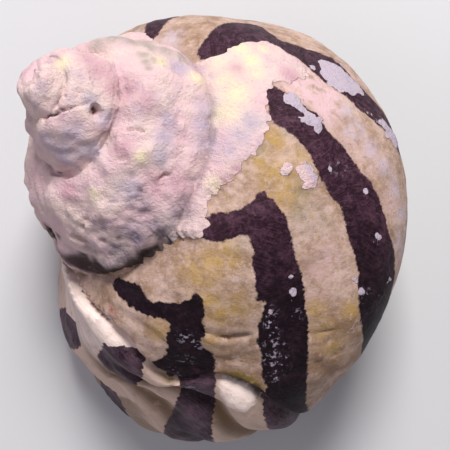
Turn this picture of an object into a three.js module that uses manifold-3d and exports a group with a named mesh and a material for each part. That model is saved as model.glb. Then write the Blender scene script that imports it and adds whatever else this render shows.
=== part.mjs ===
// A magpie shell, the West Indian top shell, lying on its mouth. Millimetres, +Z up, and +Y away
// from a viewer in front. The mouth's rim is flat on z = 0 and the spire leans back and to the left.
// The shell is one coiled tube: every cross-section is the one before it, turned and enlarged.
import * as THREE from 'three';
import { mergeVertices } from 'three/addons/utils/BufferGeometryUtils.js';
import Module from 'manifold-3d';

const wasm = await Module();
wasm.setup();

// Coil: the tube's centre keeps these distances at turn angle zero, and all of them grow together
const growthPerTurn = 1.958;
const tubeRadius = 17.75;
const centreFromAxis = 19.5;
const centreBelowPole = 46.6;
const tubeFlattening = 0.166;   // the section is this much narrower across the shoulder
const shoulderTilt = 27;        // degrees, direction of the flattening above the horizontal
const tubeSquareness = 0.032;   // slight three-sided swelling of the section

// Attitude: where the coil's pole sits over the resting plane, and how the axis leans, in degrees
const polePoint = new THREE.Vector3(-30.4, 26.8, 53.9);
const axisHeading = 147.2;
const axisRise = 47.4;
const coilStart = 45.1;

// Turn angles in degrees: the worn tip, the start of the open tube, and the end below the rim
const tipAngle = -1150;
const tipRounding = 160;
const hollowAngle = -150;
const endAngle = 208;
const mouthOverrun = 14;        // the hollow runs on past the tube's end, to open it cleanly
const segmentAngle = 180;

// Wall: thick in the body of the shell, and thin at the lip
const wallThickness = 3.4;
const lipThickness = 1.7;
const lipThinning = 100;
const glazeThickness = 0.6;     // the layer laid over the older whorls where they line the mouth

// Growth rest: the old lip is a ledge, and the newer shell past it is drawn in, ridged and then swollen
const restLedge = 1.1;
const drawnIn = 0.24;
const drawnInOver = 60;
const ridgeHeight = 0.45;
const ridgeSpacing = 14;
const newSwell = 1.5;           // out to the flank, and none by the suture
const newSwellFrom = 12;
const newSwellTo = 36;
const edgeBulge = 1.9;          // a low bulge on the new shell's left flank
const edgeBulgeTurn = 152;
const edgeBulgeSide = 42;

// The early whorls are slimmer than steady growth would make them
const spireSlimming = 0.1;
const spireSlimFrom = -250;
const spireSlimTo = -600;

// Faceting
const spireStep = 15;
const bodyStep = 7;
const bodyFrom = -180;
const outerSides = 38;
const innerSides = 28;
const sliverSize = 0.05;        // edges this short, left where surfaces cross, are closed up

const { degToRad, smoothstep } = THREE.MathUtils;

const axisDirection = new THREE.Vector3(
  Math.cos(degToRad(axisHeading)) * Math.cos(degToRad(axisRise)),
  Math.sin(degToRad(axisHeading)) * Math.cos(degToRad(axisRise)),
  Math.sin(degToRad(axisRise)),
);
const acrossDirection = new THREE.Vector3(
  Math.sin(degToRad(axisHeading)),
  -Math.cos(degToRad(axisHeading)),
  0,
);
const backDirection = new THREE.Vector3().crossVectors(axisDirection, acrossDirection);

// Straight lines through the points of a list of [position, value]
function pieceLine(points, at) {
  let [lastAt, lastValue] = points[0];
  for (const [nextAt, nextValue] of points) {
    if (at <= nextAt) {
      const share = nextAt === lastAt ? 1 : (at - lastAt) / (nextAt - lastAt);
      return lastValue + (nextValue - lastValue) * share;
    }
    [lastAt, lastValue] = [nextAt, nextValue];
  }
  return lastValue;
}

// How strongly each part of the section follows the drawing-in: most near the suture, none below
const drawnInShare = [[-60, 0], [-20, 0.1], [10, 0.4], [50, 0.5], [75, 0.7], [95, 0.6], [130, 0], [180, 0]];

// Turn angle of the old lip at each direction of the section
const oldLip = [
  [-180, 82], [-10, 82], [5, 80.5], [25, 86], [36, 92], [50, 100],
  [62, 103], [68, 107], [78, 118], [88, 137], [95, 150], [180, 150],
];

// The point of the section at turn and side angles in degrees, moved in from the outside by inset
function tubePoint(turn, side, inset) {
  const size = growthPerTurn ** (turn / 360);
  const angle = degToRad(side);
  const tilt = degToRad(shoulderTilt);
  const past = turn - pieceLine(oldLip, side);
  const share = pieceLine(drawnInShare, side);
  const swelling = 1 - tubeFlattening * Math.cos(2 * (angle - tilt)) - tubeSquareness * Math.cos(3 * (angle - tilt));
  const narrowing = 1 - drawnIn * share * smoothstep(past, 0, drawnInOver);
  let reach = tubeRadius * size * swelling * narrowing;
  if (past > 0 && side > -90 && side < 120) {
    reach += ridgeHeight * Math.cos((past / ridgeSpacing) * 2 * Math.PI) - ridgeHeight;
    reach += newSwell * smoothstep(past, newSwellFrom, newSwellTo) * (1 - smoothstep(side, 35, 65));
    reach -= restLedge * smoothstep(past, 0, bodyStep);
  }
  reach += edgeBulge * Math.exp(-(((turn - edgeBulgeTurn) / 16) ** 2) - ((side - edgeBulgeSide) / 28) ** 2);
  reach -= inset;
  const tipShare = Math.min((turn - tipAngle) / tipRounding, 1);
  reach *= Math.sqrt(Math.max(tipShare * (2 - tipShare), 0.01));
  const slimming = 1 - spireSlimming * smoothstep(-turn, -spireSlimFrom, -spireSlimTo);
  const fromAxis = (centreFromAxis * size * tipShare ** 0.5 + reach * Math.cos(angle)) * slimming;
  const alongAxis = -centreBelowPole * size + reach * Math.sin(angle);
  const heading = -degToRad(turn + coilStart);
  return new THREE.Vector3()
    .addScaledVector(acrossDirection, fromAxis * Math.cos(heading))
    .addScaledVector(backDirection, fromAxis * Math.sin(heading))
    .addScaledVector(axisDirection, alongAxis)
    .add(polePoint);
}

// A closed piece of the tube between two turn angles, as a solid
function tubeSegment(fromTurn, toTurn, step, sides, insetAt) {
  const rings = Math.max(Math.round((toTurn - fromTurn) / step), 1) + 1;
  const points = [];
  const triangles = [];
  for (let ring = 0; ring < rings; ring++) {
    const turn = fromTurn + ((toTurn - fromTurn) * ring) / (rings - 1);
    for (let k = 0; k < sides; k++) {
      const side = -180 + (360 * k) / sides;
      points.push(tubePoint(turn, side, insetAt(turn)));
    }
  }
  for (let ring = 0; ring < rings - 1; ring++) {
    for (let k = 0; k < sides; k++) {
      const a = ring * sides + k;
      const b = ring * sides + ((k + 1) % sides);
      triangles.push(a, b, b + sides, a, b + sides, a + sides);
    }
  }
  for (const [ring, reversed] of [[0, true], [rings - 1, false]]) {
    const first = ring * sides;
    const middle = new THREE.Vector3();
    for (let k = 0; k < sides; k++) middle.addScaledVector(points[first + k], 1 / sides);
    const centre = points.push(middle) - 1;
    for (let k = 0; k < sides; k++) {
      const a = first + k;
      const b = first + ((k + 1) % sides);
      triangles.push(centre, reversed ? b : a, reversed ? a : b);
    }
  }
  const mesh = new THREE.BufferGeometry().setFromPoints(points);
  mesh.setIndex(triangles);
  return toSolid(mesh);
}

function toSolid(geometry) {
  const bare = geometry.clone();
  bare.deleteAttribute('normal');
  bare.deleteAttribute('uv');
  const merged = mergeVertices(bare, 1e-5);
  return new wasm.Manifold(new wasm.Mesh({
    numProp: 3,
    vertProperties: Float32Array.from(merged.attributes.position.array),
    triVerts: Uint32Array.from(merged.index.array),
  }));
}

function toGeometry(solid) {
  const mesh = solid.getMesh();
  const geometry = new THREE.BufferGeometry();
  geometry.setAttribute('position', new THREE.BufferAttribute(mesh.vertProperties, 3));
  geometry.setIndex(new THREE.BufferAttribute(mesh.triVerts, 1));
  geometry.computeVertexNormals();
  return geometry;
}

function wallAt(turn) {
  return lipThickness + (wallThickness - lipThickness) * smoothstep(endAngle - turn, 0, lipThinning);
}

// Everything under the resting plane, cut away so that the rim is flat
function groundBlock() {
  const size = 400;
  return toSolid(new THREE.BoxGeometry(size, size, size).translate(0, 0, -size / 2));
}

// The stretches of the tube that are made as one piece each, oldest first
function listStretches() {
  const stretches = [];
  for (let to = endAngle; to > tipAngle; to -= segmentAngle) {
    const from = Math.max(to - segmentAngle, tipAngle);
    stretches.unshift({ from, to, step: from >= bodyFrom - 1 ? bodyStep : spireStep });
  }
  return stretches;
}

function makeShell() {
  const stretches = listStretches();
  const whorls = stretches.map(({ from, to, step }) => tubeSegment(from, to, step, outerSides, () => 0));
  const body = whorls.reduce((sum, whorl) => sum.add(whorl));
  let hollow = tubeSegment(hollowAngle, endAngle + mouthOverrun, spireStep, innerSides, wallAt);
  const linedUntil = hollowAngle + 2 * mouthOverrun;
  for (const { from, to, step } of stretches) {
    if (from > linedUntil || to < linedUntil - 540) continue;
    const lining = tubeSegment(from, Math.min(to, linedUntil), step, outerSides, () => -glazeThickness);
    hollow = hollow.subtract(lining);
  }
  const open = body.subtract(hollow).subtract(groundBlock()).simplify(sliverSize);
  return open.decompose().sort((a, b) => b.volume() - a.volume())[0];
}

const shell = new THREE.Mesh(
  toGeometry(makeShell()),
  new THREE.MeshStandardMaterial({ color: 0xb7a68a, roughness: 0.62, metalness: 0 }),
);
shell.name = 'shell';

const part = new THREE.Group();
part.add(shell);

export default part;
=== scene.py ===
import math
import bpy
import numpy as np
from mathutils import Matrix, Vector


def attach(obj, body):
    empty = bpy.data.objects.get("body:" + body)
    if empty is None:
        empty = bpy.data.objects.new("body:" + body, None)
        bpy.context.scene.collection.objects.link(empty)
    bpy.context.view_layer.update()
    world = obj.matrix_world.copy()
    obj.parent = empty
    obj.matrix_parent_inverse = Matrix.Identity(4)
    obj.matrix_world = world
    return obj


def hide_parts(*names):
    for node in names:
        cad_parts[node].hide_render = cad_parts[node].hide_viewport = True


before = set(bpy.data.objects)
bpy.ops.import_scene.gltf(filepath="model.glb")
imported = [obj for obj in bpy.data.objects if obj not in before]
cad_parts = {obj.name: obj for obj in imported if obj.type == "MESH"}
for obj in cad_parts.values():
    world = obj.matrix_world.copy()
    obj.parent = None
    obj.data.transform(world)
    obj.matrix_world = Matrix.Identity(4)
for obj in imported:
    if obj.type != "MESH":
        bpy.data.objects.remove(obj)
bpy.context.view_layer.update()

mm = 0.001

# The coil, as in the solid: every section is the one before it, turned and enlarged.
# Lengths are in mm and angles in degrees. The early whorls are slimmer than steady growth makes them.
coil = {
    "growthPerTurn": 1.958,
    "tubeRadius": 17.75,
    "centreFromAxis": 19.5,
    "centreBelowPole": 46.6,
    "flattening": 0.166,
    "shoulderTilt": 27.0,
    "squareness": 0.032,
    "pole": (-30.4, 26.8, 53.9),
    "axisHeading": 147.2,
    "axisRise": 47.4,
    "start": 45.1,
    "tipAngle": -1150.0,
    "tipRounding": 160.0,
    "endAngle": 208.0,
    "slimming": 0.1,
    "slimFrom": 250.0,
    "slimTo": 600.0,
}

# The old lip, with the turn it has at each side of the section, and how far the newer shell past it
# is drawn in. The bulge is a low one on the newer shell's left flank.
growthRest = {
    "sides": [-180, -10, 5, 20, 28, 33, 45, 55, 64, 74, 82, 90, 96, 180],
    "turns": [82, 81.5, 81, 84.5, 88, 97, 102.5, 104.5, 106, 112, 124, 138, 150, 150],
    "drawnIn": 0.24,
    "drawnInOver": 60.0,
    "shareSides": [-60, -20, 10, 50, 75, 95, 130, 180],
    "shares": [0, 0.1, 0.4, 0.5, 0.7, 0.6, 0, 0],
    "bulge": 1.9,
    "bulgeTurn": 152.0,
    "bulgeTurnWidth": 16.0,
    "bulgeSide": 42.0,
    "bulgeSideWidth": 28.0,
}


def smoothStep(value, low, high):
    share = np.clip((value - low) / (high - low), 0.0, 1.0)
    return share * share * (3.0 - 2.0 * share)


# One at the middle, and falling off smoothly on both sides
def hump(value, middle, width):
    return np.exp(-((value - middle) / width) ** 2)


# Directions across the coil's axis, square to that, and along the axis
def axes():
    heading = math.radians(coil["axisHeading"])
    rise = math.radians(coil["axisRise"])
    along = np.array([math.cos(heading) * math.cos(rise), math.sin(heading) * math.cos(rise), math.sin(rise)])
    across = np.array([math.sin(heading), -math.cos(heading), 0.0])
    return across, np.cross(along, across), along


def sizeAt(turn):
    return coil["growthPerTurn"] ** (turn / 360.0)


def slimmingAt(turn):
    return 1.0 - coil["slimming"] * smoothStep(-turn, coil["slimFrom"], coil["slimTo"])


def restTurn(side):
    return np.interp(side, growthRest["sides"], growthRest["turns"])


# How far the section reaches from its centre, without any surface relief
def plainReach(turn, side):
    rest = growthRest
    angle = np.radians(side - coil["shoulderTilt"])
    swelling = 1.0 - coil["flattening"] * np.cos(2 * angle) - coil["squareness"] * np.cos(3 * angle)
    share = np.interp(side, rest["shareSides"], rest["shares"])
    narrowing = 1.0 - rest["drawnIn"] * share * smoothStep(turn - restTurn(side), 0.0, rest["drawnInOver"])
    bulge = rest["bulge"] * hump(turn, rest["bulgeTurn"], rest["bulgeTurnWidth"])
    bulge = bulge * hump(side, rest["bulgeSide"], rest["bulgeSideWidth"])
    return coil["tubeRadius"] * sizeAt(turn) * swelling * narrowing + bulge


def surfacePoint(turn, side, reach):
    across, back, along = axes()
    tip = np.clip((turn - coil["tipAngle"]) / coil["tipRounding"], 0.0, 1.0)
    reach = reach * np.sqrt(np.maximum(tip * (2.0 - tip), 0.01))
    size = sizeAt(turn)
    angle = np.radians(side)
    fromAxis = (coil["centreFromAxis"] * size * np.sqrt(tip) + reach * np.cos(angle)) * slimmingAt(turn)
    alongAxis = -coil["centreBelowPole"] * size + reach * np.sin(angle)
    heading = -np.radians(turn + coil["start"])
    point = (fromAxis * np.cos(heading))[:, None] * across + (fromAxis * np.sin(heading))[:, None] * back
    return point + alongAxis[:, None] * along + np.array(coil["pole"])


# Which turn and which side of the section each point of the finished mesh belongs to. Each direction
# from the axis is met once in every whorl, and the whorl whose surface lies nearest is taken.
def turnAndSide(points):
    across, back, along = axes()
    offset = points - np.array(coil["pole"])
    acrossAxis = offset @ across
    behindAxis = offset @ back
    fromAxis = np.hypot(acrossAxis, behindAxis)
    firstTurn = (-np.degrees(np.arctan2(behindAxis, acrossAxis)) - coil["start"] + 180.0) % 360.0 - 180.0
    never = 1e9
    bestError = np.full(len(points), never)
    bestTurn = np.zeros(len(points))
    bestSide = np.zeros(len(points))
    for whorl in range(-3, 2):
        turn = firstTurn + 360.0 * whorl
        size = sizeAt(turn)
        outwards = fromAxis / slimmingAt(turn) - coil["centreFromAxis"] * size
        upwards = offset @ along + coil["centreBelowPole"] * size
        side = np.degrees(np.arctan2(upwards, outwards))
        error = np.abs(np.hypot(outwards, upwards) - plainReach(turn, side)) / size
        error[(turn > coil["endAngle"] + 2) | (turn < coil["tipAngle"])] = never
        better = error < bestError
        bestError = np.where(better, error, bestError)
        bestTurn = np.where(better, turn, bestTurn)
        bestSide = np.where(better, side, bestSide)
    return bestTurn, bestSide


# Numbers between 0 and 1 at whole grid points, the same on every run
def gridNumbers(ix, iy, iz, seed):
    mixed = (ix * 73856093) ^ (iy * 19349663) ^ (iz * 83492791) ^ (seed * 40503)
    mixed = (mixed ^ (mixed >> 13)) * 1274126177 & 0xFFFFFFFF
    mixed = mixed ^ (mixed >> 16)
    return (mixed & 0xFFFF) / 65535.0


# Smooth noise from -1 to 1 at points in mm, with lumps about as wide as size
def softNoise(points, size, seed):
    cell = np.floor(points / size).astype(np.int64)
    share = points / size - cell
    share = share * share * (3.0 - 2.0 * share)
    total = np.zeros(len(points))
    for dx in (0, 1):
        for dy in (0, 1):
            for dz in (0, 1):
                weight = (share[:, 0] if dx else 1 - share[:, 0]) * (share[:, 1] if dy else 1 - share[:, 1])
                weight = weight * (share[:, 2] if dz else 1 - share[:, 2])
                total += weight * gridNumbers(cell[:, 0] + dx, cell[:, 1] + dy, cell[:, 2] + dz, seed)
    return total * 2.0 - 1.0


# Lumps from a list of (height in mm, width in mm, seed)
def lumps(points, layers):
    total = np.zeros(len(points))
    for height, width, seed in layers:
        total += height * softNoise(points, width, seed)
    return total


# Lines that run across the whorl, from a list of (height in mm, degrees of turn, degrees of side, seed)
def growthLines(turn, side, layers):
    total = np.zeros(len(turn))
    for height, turnWidth, sideWidth, seed in layers:
        places = np.stack([turn / turnWidth, side / sideWidth, turn * 0.0], axis=1)
        total += height * softNoise(places, 1.0, seed)
    return total


# Everything drawn on the shell is measured as a depth in mm: above zero inside it, below zero outside.
# The distance to a drawn outline is followed up to outlineLimit, and notNear stands for far away.
outlineLimit = 12.0
notNear = -30.0


# Points on the shell along a drawn line of (turn, side, ...) with the other values carried along
def drawnLine(line, spacing):
    line = np.array(line, dtype=float)
    rows = []
    for start, stop in zip(line[:-1], line[1:]):
        count = max(int(np.hypot(*(stop - start)[:2]) / spacing), 1)
        for k in range(count):
            rows.append(start + (stop - start) * k / count)
    rows.append(line[-1])
    rows = np.array(rows)
    return surfacePoint(rows[:, 0], rows[:, 1], plainReach(rows[:, 0], rows[:, 1])), rows[:, 2:]


# Inside a painted line of (turn, side, half width in mm)
def depthInLine(points, line):
    places, halfWidths = drawnLine(line, 1.5)
    depth = np.full(len(points), notNear)
    searched = 15.0 + np.ptp(places, axis=0).max()
    near = np.linalg.norm(points - places.mean(axis=0), axis=1) < searched
    chosen = points[near]
    best = np.full(len(chosen), notNear)
    for place, halfWidth in zip(places, halfWidths):
        best = np.maximum(best, halfWidth[0] - np.linalg.norm(chosen - place, axis=1))
    depth[near] = best
    return depth


# Inside round spots of (turn, side, radius in mm)
def depthInSpots(points, spots):
    depth = np.full(len(points), notNear)
    for turn, side, radius in spots:
        turnHere = np.array([float(turn)])
        sideHere = np.array([float(side)])
        place = surfacePoint(turnHere, sideHere, plainReach(turnHere, sideHere))[0]
        depth = np.maximum(depth, radius - np.linalg.norm(points - place, axis=1))
    return depth


# True where (turn, side) lies inside a closed outline
def insideOutline(turn, side, outline):
    inside = np.zeros(len(turn), dtype=bool)
    for (x1, y1), (x2, y2) in zip(outline, outline[1:] + outline[:1]):
        if y1 == y2:
            continue
        crosses = (y1 > side) != (y2 > side)
        inside ^= crosses & (turn < (x2 - x1) * (side - y1) / (y2 - y1) + x1)
    return inside


# Distance in mm from each point to a drawn line, worked out for a few thousand points at a time
def distanceToLine(points, line):
    places = drawnLine(line, 1.0)[0]
    distance = np.full(len(points), outlineLimit)
    low = places.min(axis=0) - outlineLimit
    high = places.max(axis=0) + outlineLimit
    near = np.where(((points > low) & (points < high)).all(axis=1))[0]
    batch = 4000
    for start in range(0, len(near), batch):
        part = near[start:start + batch]
        apart = ((points[part][:, None, :] - places[None, :, :]) ** 2).sum(axis=2)
        distance[part] = np.minimum(np.sqrt(apart.min(axis=1)), outlineLimit)
    return distance


def depthInOutline(points, turn, side, outline):
    away = distanceToLine(points, outline + outline[:1])
    return np.where(insideOutline(turn, side, outline), away, -away)


# Outlines of the near-black bands on the body whorl, as (turn, side): down one edge and back up the other.
# The far band and the hidden ones repeat the pattern on the sides that the viewer doesn't see.
bands = {
    "topBand": [(-19, 89), (-28, 91), (-33, 82), (-37, 73), (-40, 64), (-41, 49), (-41, 39), (-39, 32),
                (-34, 36), (-29, 35), (-27, 30), (-26, 20), (-24, 12), (-22, 0), (-17, -4), (-14, -6),
                (-11, -9), (-8, -14), (-6, -21), (-2, -38), (4, -62), (13, -90), (22, -118), (30, -140),
                (40, -140), (33, -112), (26, -86), (18, -62), (11, -42), (5, -23), (3, -15), (1, -5),
                (-1, 3), (-4, 8), (-6, 17), (-9, 25), (-12, 29), (-17, 34), (-20, 42), (-22, 50), (-21, 60),
                (-20, 70), (-18, 77)],
    "wideBand": [(-1, 69), (-2, 64), (0, 61), (2, 57), (4, 51), (6, 41), (10, 35), (12, 28), (14, 21),
                 (17, 13), (19, 8), (20, 2), (23, -4), (26, -8), (30, -14), (33, -22), (35, -26), (39, -31),
                 (44, -38), (48, -50), (54, -72), (62, -98), (72, -125), (86, -125), (78, -98), (71, -74),
                 (64, -50), (58, -34), (55, -26), (53, -20), (50, -12), (46, -6), (43, -3), (40, 3),
                 (37, 9), (33, 16), (30, 21), (29, 29), (26, 37), (23, 43), (19, 50), (17, 56), (15, 61),
                 (14, 66), (11, 69), (4, 70)],
    "chevron": [(66, 90), (60, 87), (55, 85), (53, 84), (50, 79), (46, 74), (43, 71), (39, 69), (36, 67),
                (38, 64), (38, 62), (39, 57), (40, 53), (43, 48), (46, 43), (49, 36), (51, 30), (54, 24),
                (57, 17), (60, 9), (64, 2), (68, -6), (72, -14), (76, -24), (79, -34), (82, -52), (86, -80),
                (92, -110), (98, -130), (114, -130), (107, -104), (101, -78), (96, -54), (92, -36),
                (87, -18), (82, -4), (79, 2), (78, 8), (76, 13), (74, 19), (73, 24), (71, 30), (69, 33),
                (66, 36), (63, 39), (64, 44), (62, 48), (59, 53), (57, 58), (54, 60), (52, 64), (51, 67),
                (53, 69), (56, 72), (59, 74), (61, 78), (63, 82)],
    "hook": [(112, 89), (107, 90), (100, 87), (95, 84), (94, 80), (92, 76), (89, 75), (85, 71), (82, 69),
             (79, 68), (76, 69), (75, 67), (76, 63), (78, 59), (80, 56), (81, 52), (84, 49), (85, 45),
             (84, 39), (85, 33), (88, 27), (89, 21), (92, 13), (94, 6), (97, -2), (100, -8), (103, -16),
             (108, -34), (113, -62), (119, -92), (126, -128), (140, -128), (134, -96), (129, -66),
             (124, -38), (120, -18), (115, -5), (112, 0), (108, 8), (106, 13), (103, 19), (100, 26),
             (98, 32), (102, 38), (103, 43), (102, 49), (96, 52), (94, 55), (92, 60), (90, 62), (89, 65),
             (91, 68), (95, 71), (97, 74), (101, 77), (104, 81), (107, 84)],
    "newBand": [(116, 63), (110, 61), (106, 58), (106, 50), (108, 43), (112, 36), (116, 30), (120, 31),
                (124, 35), (128, 40), (128, 47), (126, 53), (122, 59)],
    "newBandLow": [(136, 18), (141, 6), (146, -14), (152, -42), (158, -74), (164, -110), (152, -110),
                   (146, -74), (139, -40), (133, -14), (128, 2), (130, 14)],
    "edgeBand": [(153, 58), (147, 62), (141, 62), (137, 56), (137, 50), (140, 43), (144, 38), (150, 36),
                 (155, 22), (160, -4), (172, -4), (168, 18), (162, 34), (158, 48)],
    "farBand": [(-70, 92), (-71, 84), (-74, 74), (-82, 58), (-78, 44), (-76, 32), (-68, 20), (-64, 4),
                (-65, -8), (-56, -22), (-48, -42), (-40, -66), (-30, -92), (-18, -120), (-6, -120),
                (-14, -92), (-24, -64), (-32, -42), (-41, -20), (-49, -6), (-48, 8), (-54, 22), (-62, 34),
                (-61, 46), (-65, 58), (-63, 74), (-60, 84), (-60, 92)],
}
hiddenBands = {
    "turns": [-118, -160, -204, -250],
    "outline": [(-8, 92), (-14, 78), (-12, 62), (-4, 55), (0, 44), (2, 32), (10, 20), (14, 4), (13, -8),
                (22, -22), (30, -42), (38, -66), (48, -92), (60, -120), (72, -120), (64, -92), (54, -64),
                (46, -42), (38, -20), (30, -6), (31, 8), (24, 22), (16, 34), (17, 46), (12, 56), (4, 64),
                (6, 78), (2, 90)],
}


# Each hidden band is stretched and bent a little, so that no two are alike
def listBands():
    outlines = list(bands.values())
    for count, startTurn in enumerate(hiddenBands["turns"]):
        stretch = 1.0 + 0.12 * math.sin(count * 2.3)
        outlines.append([(startTurn + stretch * turn + 3 * math.sin(count * 5 + side * 0.11), side)
                         for turn, side in hiddenBands["outline"]])
    return outlines


def bandDepth(points, turn, side):
    depth = np.full(len(points), -outlineLimit)
    for outline in listBands():
        depth = np.maximum(depth, depthInOutline(points, turn, side, outline))
    return depth


# Lime crust: it covers the spire and spills over the suture down to its edge. Past the edge it has
# plates, round patches of (turn, side, radius in mm), a thin wash, and scuffs on the dark bands.
# Its lumps and the wander of its edge are (height, width, seed) in mm, and sutureFill is how much
# thicker it is in the suture.
crust = {
    "edge": [(150, 98), (118, 96), (98, 93), (90, 92), (77, 92), (71, 90), (67, 88), (65, 84), (61, 82),
             (57, 83), (54, 86), (50, 88), (46, 87), (41, 84), (36, 81), (31, 78), (26, 75), (21, 72),
             (16, 70), (11, 69), (7, 69), (2, 68), (-2, 64), (-4, 59), (-4, 52), (-6, 45), (-9, 37),
             (-13, 35), (-18, 40), (-23, 46), (-24, 52), (-23, 60), (-23, 67), (-22, 74), (-19, 79),
             (-18, 84), (-20, 92), (-26, 101), (-54, 101), (-62, 91), (-70, 86), (-90, 83), (-130, 85),
             (-165, 76), (-190, 56), (-208, 20), (-218, -20), (-222, -60)],
    "plates": [[(3, 60), (1, 56), (2, 51), (5, 49), (7, 46), (6, 41), (8, 37), (11, 37), (13, 42), (11, 45),
                (12, 51), (10, 54), (8, 50), (7, 53), (6, 57), (5, 60)],
               [(-17, 20), (-19, 13), (-19, 5), (-17, 0), (-14, -4), (-11, -8), (-9, -10), (-6, -1),
                (-5, 6), (-6, 12), (-7, 18), (-9, 22), (-12, 25)],
               [(1, -9), (-1, -16), (0, -24), (3, -28), (6, -24), (5, -18), (3, -14)],
               [(27, 63), (25, 60), (26, 56), (28, 56), (30, 59), (29, 62)],
               [(26, 54), (23, 50), (24, 46), (25, 44), (26, 40), (28, 41), (31, 46), (29, 49), (27, 51)]],
    "patches": [(-14, 26, 0.6), (-19, -3, 0.6), (0, -6, 0.5), (40, -25, 0.4), (44, -22, 0.6), (18, 27, 0.3),
                (22, 33, 0.5), (23, 31, 0.3), (23, 5, 0.4), (33, -7, 0.5), (46, -9, 0.6), (44, -3, 0.3),
                (45, -12, 0.4), (53, 35, 0.3), (56, 30, 0.55), (57, 28, 0.4), (64, 35, 0.3), (58, -3, 0.25),
                (87, 54, 0.3)],
    "wash": [(-22, 50), (-20, 42), (-17, 34), (-12, 28), (-8, 20), (-4, 12), (3, 18), (9, 30), (8, 37),
             (5, 44), (3, 51), (1, 57), (-2, 62), (-6, 55), (-8, 46), (-14, 42)],
    "scuffs": [(65, 33, 1.6), (66, 27, 1.8), (69, 21, 1.9), (71, 14, 2.3), (73, 8, 2.4), (76, 4, 1.6),
               (75, 16, 1.4), (87, 55, 1.6), (86, 49, 1.6), (92, 44, 1.4), (98, 40, 1.2), (46, -10, 1.8),
               (52, -16, 1.2), (20, 24, 1.2), (10, 20, 1.2), (-1, -1, 1.8), (2, -8, 1.4), (60, 18, 1.0),
               (97, 22, 1.6)],
    "thickness": 0.3,
    "sutureFill": 1.0,
    "lumps": [(0.3, 3.0, 61), (0.15, 1.5, 62), (0.2, 1.3, 67)],
    "edgeWander": [(0.3, 1.5, 51), (0.15, 0.8, 53)],
}


def plateDepth(points, turn, side):
    depth = depthInSpots(points, crust["patches"])
    for outline in crust["plates"]:
        depth = np.maximum(depth, depthInOutline(points, turn, side, outline))
    return depth


def crustDepth(points, turn, side):
    away = distanceToLine(points, crust["edge"])
    overTheSpire = [(-330, -60), (-330, 175), (150, 175)]
    olderWhorls = turn < -318.0
    inside = insideOutline(turn, side, crust["edge"] + overTheSpire) | olderWhorls
    return np.maximum(np.where(inside, away, -away), plateDepth(points, turn, side))


def crustHeight(side, points, cover, worn):
    filled = crust["sutureFill"] * smoothStep(side, 70.0, 90.0) * (1.0 - worn)
    return cover * (crust["thickness"] + filled + lumps(points, crust["lumps"]) * (0.5 + 0.7 * worn))


# The newer shell, by degrees of turn past the old lip: the height in mm of its grooves and rolls, lower
# for the flank and upper for the part by the suture, and a swelling that fades out between two sides.
# Wander bends the grooves to and fro, in degrees of turn, and unevenness makes them deeper and shallower.
# The first roll has a white block on it, and beside it are ochre stains: (turn, side, half width).
newGrowth = {
    "past": [-9, -5, -2, -0.7, 0.1, 0.9, 1.8, 3.2, 5, 8, 11, 13.5, 15.5, 18, 21, 24.5, 28, 31, 36, 42, 48,
             56, 64, 90],
    "lower": [0, 0.1, 0.4, 0.3, -1.2, -2.6, -2.4, -0.5, 0.35, 0.5, 0.15, -1.5, -1.9, -0.7, -0.2, -0.7, -1.7,
              -1.6, -0.9, -1.7, -1.1, -1.8, -1.3, -1.6],
    "upper": [0, 0.1, 0.3, 0.2, -1.0, -2.2, -2.0, -0.6, 0.3, 1.0, 1.3, 0.9, -0.2, -1.2, -1.4, -0.7, -0.6,
              -1.2, -1.8, -1.2, -1.9, -1.4, -1.9, -1.7],
    "upperSides": (34.0, 58.0),
    "swell": 1.5,
    "swellPast": (12.0, 36.0),
    "swellSides": (35.0, 65.0),
    "wander": [(1.6, 8.0, 5)],
    "fineWander": [(0.5, 2.4, 7)],
    "unevenness": [(0.3, 6.0, 11)],
    "lumps": [(0.42, 4.5, 15), (0.16, 2.0, 17)],
    "lines": [(0.16, 2.4, 16.0, 19)],
    "block": [(88, 20), (90, 13), (90.5, 5), (88, -3), (85, -4), (82, -1), (81, 5), (82, 11), (84, 18)],
    "blockHeight": 0.7,
    "blockWander": [(0.4, 2.0, 91)],
    "ochreStains": [[(105, 48, 0.3), (103, 42, 0.7), (101, 35, 0.6), (97, 33, 0.3)],
                    [(88, 27, 0.2), (85, 24, 0.5), (82, 17, 0.6), (80.5, 10, 0.6), (80, 2, 0.3)]],
}


def newShellHeight(past, side, points):
    wander = lumps(points, newGrowth["wander"]) * smoothStep(past, 2.0, 12.0)
    past = past + (wander + lumps(points, newGrowth["fineWander"]))
    lower = np.interp(past, newGrowth["past"], newGrowth["lower"])
    upper = np.interp(past, newGrowth["past"], newGrowth["upper"])
    height = lower + (upper - lower) * smoothStep(side, *newGrowth["upperSides"])
    strength = 0.85 + lumps(points, newGrowth["unevenness"])
    swell = newGrowth["swell"] * smoothStep(past, *newGrowth["swellPast"])
    swell = swell * (1.0 - smoothStep(side, *newGrowth["swellSides"]))
    fresh = smoothStep(past, 0.0, 2.0)
    bumps = lumps(points, newGrowth["lumps"]) + growthLines(past, side, newGrowth["lines"])
    return height * strength + swell + fresh * bumps


# The body whorl: growth lines as (height, degrees of turn, degrees of side, seed), waves as (height,
# width, seed), and a crumpled stretch before the old lip with its middle and width in degrees of turn
bodyRelief = {
    "lines": [(0.1, 3.4, 70.0, 31), (0.055, 1.7, 34.0, 33)],
    "waves": [(0.24, 15.0, 41), (0.12, 7.5, 42), (0.09, 4.5, 44), (0.06, 2.4, 43)],
    "crumple": [(0.24, 2.6, 15.0, 37), (0.12, 1.5, 8.0, 38)],
    "crumpledAt": (-13.0, 11.0),
}


def bodyWaves(past, side, points, size):
    waves = growthLines(past, side, bodyRelief["lines"]) + lumps(points, bodyRelief["waves"])
    crumpled = hump(past, *bodyRelief["crumpledAt"])
    return size * (waves + crumpled * growthLines(past, side, bodyRelief["crumple"]))


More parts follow.
